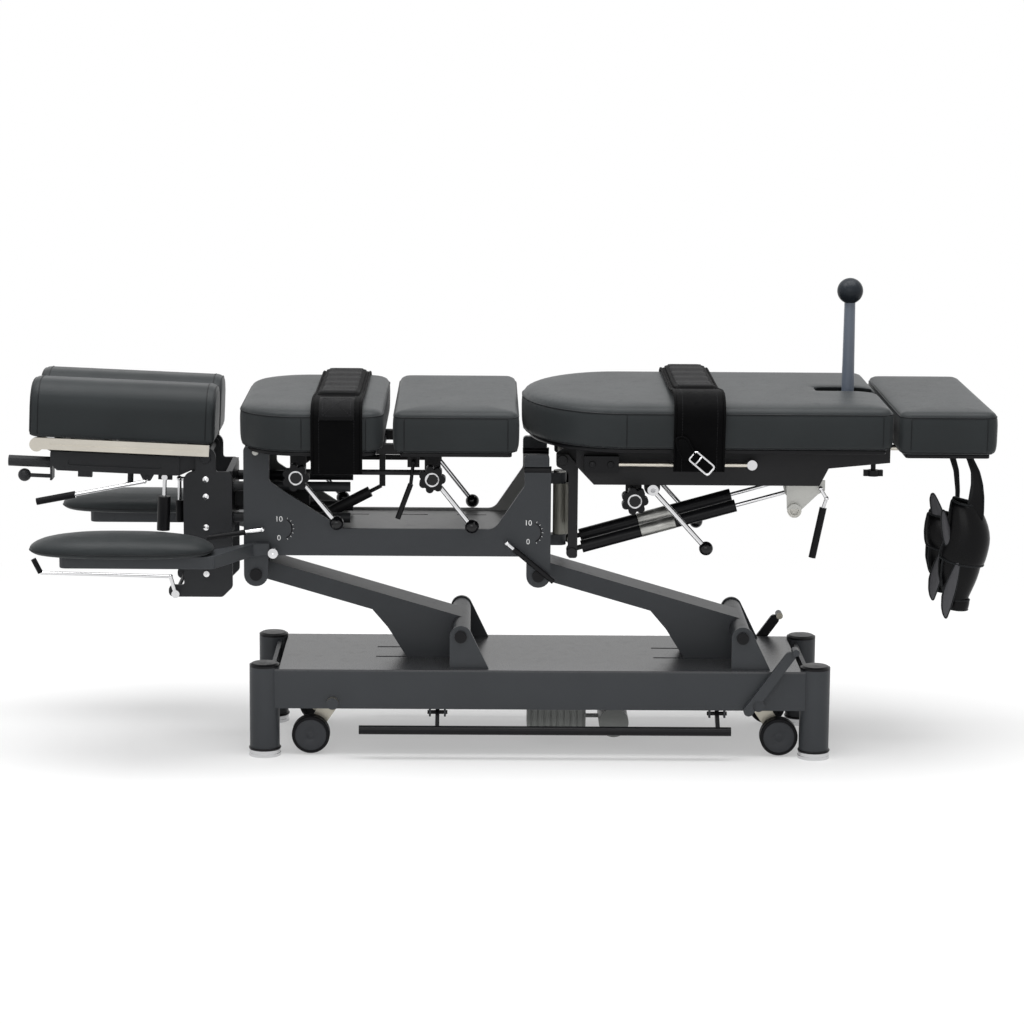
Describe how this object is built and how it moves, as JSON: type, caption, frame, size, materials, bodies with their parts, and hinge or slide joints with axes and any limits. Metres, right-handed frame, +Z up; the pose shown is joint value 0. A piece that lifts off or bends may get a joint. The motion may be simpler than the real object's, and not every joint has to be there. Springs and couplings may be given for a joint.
{
  "type": "chiropractic table",
  "caption": "Height-adjustable chiropractic table with drop sections, swivelling flexion leg section, tilting head piece, swing-down armrests, gas springs and retractable casters.",
  "frame": {"origin": "middle of the table's bounding box, on the floor", "axes": "+X towards the foot end, +Y towards the far side, +Z up"},
  "size_m": [1.9472, 0.66, 0.952],
  "materials": {
    "frame": "charcoal powder coat, satin",
    "black": "moulded black, fine grain",
    "chrome": "polished",
    "nickel": "warm satin nickel",
    "zinc": "zinc plated",
    "drive": "grey-green casting",
    "wheel": "black tread and hub",
    "hide": "charcoal upholstery leather with seams",
    "web": "black woven strap",
    "boot": "soft black cuff",
    "handle": "slate blue grey"
  },
  "bodies": {
    "base": {"base_posts": "frame", "post_caps": "black", "foot_discs": "zinc", "base_rails": "frame", "deck_plate": "frame", "pivot_ears": "frame", "lower_pivot_pins": "black"},
    "near_foot_bar": {"near_foot_bar": "black"},
    "far_foot_bar": {"far_foot_bar": "black"},
    "lift_actuator": {"lift_actuator": "drive"},
    "actuator_rod": {"actuator_rod": "chrome"},
    "head_casters": {"head_caster_frame": "drive"},
    "foot_casters": {"foot_caster_frame": "drive"},
    "near_head_wheel": {"near_head_wheel": "wheel"},
    "far_head_wheel": {"far_head_wheel": "wheel"},
    "near_foot_wheel": {"near_foot_wheel": "wheel"},
    "far_foot_wheel": {"far_foot_wheel": "wheel"},
    "head_lift_arm": {"head_lift_arm": "frame"},
    "foot_lift_arm": {"foot_lift_arm": "frame"},
    "carriage": {"near_side_plate": "frame", "far_side_plate": "frame", "carriage_cross_plates": "frame", "carriage_fittings": "zinc", "section_supports": "frame"},
    "chest_section": {"chest_cushion": "hide", "chest_strap": "web"},
    "pelvic_section": {"pelvic_cushion": "hide"},
    "leg_swivel": {"leg_swivel_post": "frame"},
    "leg_section": {"leg_tray": "frame", "leg_cushion": "hide", "leg_strap": "web", "leg_fittings": "zinc"},
    "foot_section": {"foot_cushion": "hide", "foot_slide_bars": "nickel"},
    "head_tray": {"head_tray": "frame"},
    "head_drop": {"head_drop_frame": "nickel", "face_cushions": "hide"},
    "head_release_lever": {"head_release_lever": "black"},
    "leg_release_lever": {"leg_release_lever": "black"},
    "chest_knob": {"chest_knob": "black"},
    "pelvic_knob": {"pelvic_knob": "black"},
    "chest_cocking_lever": {"chest_cocking_lever": "chrome"},
    "pelvic_cocking_lever": {"pelvic_cocking_lever": "chrome"},
    "pelvic_release_lever": {"pelvic_release_lever": "black"},
    "leg_knob": {"leg_knob": "black"},
    "leg_cocking_lever": {"leg_cocking_lever": "chrome"},
    "gas_spring_tubes": {"gas_spring_tubes": "black"},
    "gas_spring_rods": {"gas_spring_rods": "chrome"},
    "leg_release_handle": {"leg_release_handle": "chrome"},
    "flexion_handle": {"flexion_handle": "handle"},
    "foot_clamp_knob": {"foot_clamp_knob": "black"},
    "near_boot": {"near_boot": "boot"},
    "far_boot": {"far_boot": "boot"},
    "head_carrier": {"head_carrier": "frame"},
    "head_crank": {"head_crank": "chrome"},
    "carrier_release_lever": {"carrier_release_lever": "chrome"},
    "head_cocking_lever": {"head_cocking_lever": "chrome"},
    "head_lock_lever": {"head_lock_lever": "black"},
    "near_armrest": {"near_armrest": "hide"},
    "far_armrest": {"far_armrest": "hide"}
  },
  "joints": [
    {"name": "lift", "type": "hinge", "parent": "base", "child": "head_lift_arm", "pos_m": [-0.06738, 0, 0.245], "axis": [0, 1, 0], "range_deg": [-8, 26]},
    {"name": "carriage_pivot", "type": "hinge", "parent": "head_lift_arm", "child": "carriage", "pos_m": [-0.47646, 0, 0.36385], "axis": [0, 1, 0], "range_deg": [-26, 8]},
    {"name": "foot_arm_pivot", "type": "hinge", "parent": "base", "child": "foot_lift_arm", "pos_m": [0.49562, 0, 0.245], "axis": [0, 1, 0], "range_deg": [-8, 26]},
    {"name": "actuator_pivot", "type": "hinge", "parent": "base", "child": "lift_actuator", "pos_m": [0.24162, 0, 0.118], "axis": [0, 1, 0], "range_deg": [-3, 5]},
    {"name": "actuator_extension", "type": "slide", "parent": "lift_actuator", "child": "actuator_rod", "axis": [-1, 0, 0], "range_m": [-0.035, 0.06]},
    {"name": "near_foot_bar_pivot", "type": "hinge", "parent": "base", "child": "near_foot_bar", "pos_m": [0.09162, -0.15, 0.09], "axis": [1, 0, 0], "range_deg": [-4, 4], "stiffness_Nm_per_rad": 60},
    {"name": "far_foot_bar_pivot", "type": "hinge", "parent": "base", "child": "far_foot_bar", "pos_m": [0.09162, 0.15, 0.09], "axis": [1, 0, 0], "range_deg": [-4, 4], "stiffness_Nm_per_rad": 60},
    {"name": "foot_caster_lowering", "type": "hinge", "parent": "base", "child": "foot_casters", "pos_m": [0.52762, 0, 0.112], "axis": [0, 1, 0], "range_deg": [0, 12]},
    {"name": "head_caster_lowering", "type": "hinge", "parent": "base", "child": "head_casters", "pos_m": [-0.32238, 0, 0.112], "axis": [0, -1, 0], "range_deg": [0, 12]},
    {"name": "near_head_wheel_roll", "type": "hinge", "parent": "head_casters", "child": "near_head_wheel", "pos_m": [-0.36738, -0.135, 0.041], "axis": [0, 1, 0], "continuous": true},
    {"name": "far_head_wheel_roll", "type": "hinge", "parent": "head_casters", "child": "far_head_wheel", "pos_m": [-0.36738, 0.135, 0.041], "axis": [0, 1, 0], "continuous": true},
    {"name": "near_foot_wheel_roll", "type": "hinge", "parent": "foot_casters", "child": "near_foot_wheel", "pos_m": [0.57262, -0.135, 0.041], "axis": [0, 1, 0], "continuous": true},
    {"name": "far_foot_wheel_roll", "type": "hinge", "parent": "foot_casters", "child": "far_foot_wheel", "pos_m": [0.57262, 0.135, 0.041], "axis": [0, 1, 0], "continuous": true},
    {"name": "head_release_lever_pivot", "type": "hinge", "parent": "carriage", "child": "head_release_lever", "pos_m": [-0.46246, -0.138, 0.457], "axis": [0, 1, 0], "range_deg": [0, 15]},
    {"name": "leg_release_lever_pivot", "type": "hinge", "parent": "carriage", "child": "leg_release_lever", "pos_m": [0.02354, -0.138, 0.432], "axis": [0, 1, 0], "range_deg": [-15, 15]},
    {"name": "chest_drop", "type": "hinge", "parent": "carriage", "child": "chest_section", "pos_m": [-0.49138, 0, 0.625], "axis": [0, -1, 0], "range_deg": [0, 4]},
    {"name": "pelvic_drop", "type": "hinge", "parent": "carriage", "child": "pelvic_section", "pos_m": [-0.18638, 0, 0.625], "axis": [0, -1, 0], "range_deg": [0, 4]},
    {"name": "chest_cocking", "type": "hinge", "parent": "carriage", "child": "chest_cocking_lever", "pos_m": [-0.39338, 0, 0.569], "axis": [0, 1, 0], "range_deg": [-25, 25]},
    {"name": "chest_tension", "type": "hinge", "parent": "chest_cocking_lever", "child": "chest_knob", "pos_m": [-0.39338, -0.158, 0.569], "axis": [0, 1, 0], "continuous": true},
    {"name": "pelvic_cocking", "type": "hinge", "parent": "carriage", "child": "pelvic_cocking_lever", "pos_m": [-0.12538, 0, 0.567], "axis": [0, 1, 0], "range_deg": [-25, 25]},
    {"name": "pelvic_tension", "type": "hinge", "parent": "pelvic_cocking_lever", "child": "pelvic_knob", "pos_m": [-0.12538, -0.158, 0.567], "axis": [0, 1, 0], "continuous": true},
    {"name": "pelvic_release_lever_pivot", "type": "hinge", "parent": "carriage", "child": "pelvic_release_lever", "pos_m": [-0.16338, -0.121, 0.592], "axis": [0, 1, 0], "range_deg": [-20, 20]},
    {"name": "leg_swivel", "type": "hinge", "parent": "carriage", "child": "leg_swivel", "pos_m": [0.13062, 0, 0.48], "axis": [0, 0, 1], "range_deg": [-10, 10]},
    {"name": "flexion", "type": "hinge", "parent": "leg_swivel", "child": "leg_section", "pos_m": [0.13312, 0, 0.594], "axis": [0, 1, 0], "range_deg": [0, 20]},
    {"name": "gas_spring_tilt", "type": "hinge", "parent": "leg_swivel", "child": "gas_spring_tubes", "pos_m": [0.15332, 0, 0.407], "axis": [0, 1, 0], "range_deg": [0, 22]},
    {"name": "gas_spring_stroke", "type": "slide", "parent": "gas_spring_tubes", "child": "gas_spring_rods", "axis": [0.9632, 0, 0.2689], "range_m": [-0.07, 0]},
    {"name": "leg_cocking", "type": "hinge", "parent": "leg_section", "child": "leg_cocking_lever", "pos_m": [0.31162, 0, 0.544], "axis": [0, 1, 0], "range_deg": [-25, 25]},
    {"name": "leg_tension", "type": "hinge", "parent": "leg_section", "child": "leg_knob", "pos_m": [0.27362, -0.172, 0.529], "axis": [0, 1, 0], "continuous": true},
    {"name": "leg_release", "type": "hinge", "parent": "leg_section", "child": "leg_release_handle", "pos_m": [0.64762, -0.116, 0.543], "axis": [0, 1, 0], "range_deg": [-20, 20]},
    {"name": "flexion_handle_lift", "type": "slide", "parent": "leg_section", "child": "flexion_handle", "axis": [0, 0, 1], "range_m": [0, 0.06]},
    {"name": "foot_extension", "type": "slide", "parent": "leg_section", "child": "foot_section", "axis": [1, 0, 0], "range_m": [0, 0.12]},
    {"name": "foot_clamp", "type": "hinge", "parent": "leg_section", "child": "foot_clamp_knob", "pos_m": [0.75362, -0.096, 0.59], "axis": [0, 0, 1], "continuous": true},
    {"name": "near_boot_swing", "type": "hinge", "parent": "foot_section", "child": "near_boot", "pos_m": [0.92962, -0.09, 0.6187], "axis": [0, 1, 0], "range_deg": [-25, 25]},
    {"name": "far_boot_swing", "type": "hinge", "parent": "foot_section", "child": "far_boot", "pos_m": [0.91362, 0.09, 0.6187], "axis": [0, 1, 0], "range_deg": [-25, 25]},
    {"name": "head_extension", "type": "slide", "parent": "carriage", "child": "head_carrier", "axis": [-1, 0, 0], "range_m": [0, 0.1]},
    {"name": "crank_swing", "type": "hinge", "parent": "head_carrier", "child": "head_crank", "pos_m": [-0.63638, -0.025, 0.54], "axis": [1, 0, 0], "range_deg": [-20, 60]},
    {"name": "carrier_release", "type": "hinge", "parent": "head_carrier", "child": "carrier_release_lever", "pos_m": [-0.63788, -0.116, 0.322], "axis": [0, 1, 0], "range_deg": [-10, 10]},
    {"name": "head_tilt", "type": "hinge", "parent": "head_carrier", "child": "head_tray", "pos_m": [-0.57738, 0, 0.594], "axis": [0, 1, 0], "range_deg": [-25, 14]},
    {"name": "head_drop", "type": "hinge", "parent": "head_tray", "child": "head_drop", "pos_m": [-0.90843, 0, 0.62431], "axis": [0, -1, 0], "range_deg": [0, 2]},
    {"name": "head_cocking", "type": "hinge", "parent": "head_tray", "child": "head_cocking_lever", "pos_m": [-0.69513, 0, 0.55269], "axis": [0, 1, 0], "range_deg": [-12, 12]},
    {"name": "head_lock", "type": "hinge", "parent": "head_tray", "child": "head_lock_lever", "pos_m": [-0.66116, 0, 0.55133], "axis": [0, 1, 0], "range_deg": [-15, 15]},
    {"name": "near_armrest_swing", "type": "hinge", "parent": "carriage", "child": "near_armrest", "pos_m": [-0.44146, -0.255, 0.41], "axis": [0, 1, 0], "range_deg": [-25, 8]},
    {"name": "far_armrest_swing", "type": "hinge", "parent": "carriage", "child": "far_armrest", "pos_m": [-0.44146, 0.255, 0.41], "axis": [0, 1, 0], "range_deg": [-25, 8]}
  ],
  "couplings": [
    {"joint": "carriage_pivot", "follows": "lift", "ratio": -1},
    {"joint": "foot_arm_pivot", "follows": "lift", "ratio": 1},
    {"joint": "actuator_pivot", "follows": "lift", "ratio": 0.15},
    {"joint": "actuator_extension", "follows": "lift", "m_per_rad": 0.1243},
    {"joint": "head_caster_lowering", "follows": "foot_caster_lowering", "ratio": 1},
    {"joint": "gas_spring_tilt", "follows": "flexion", "ratio": 0.99},
    {"joint": "gas_spring_stroke", "follows": "flexion", "m_per_rad": -0.1874}
  ]
}
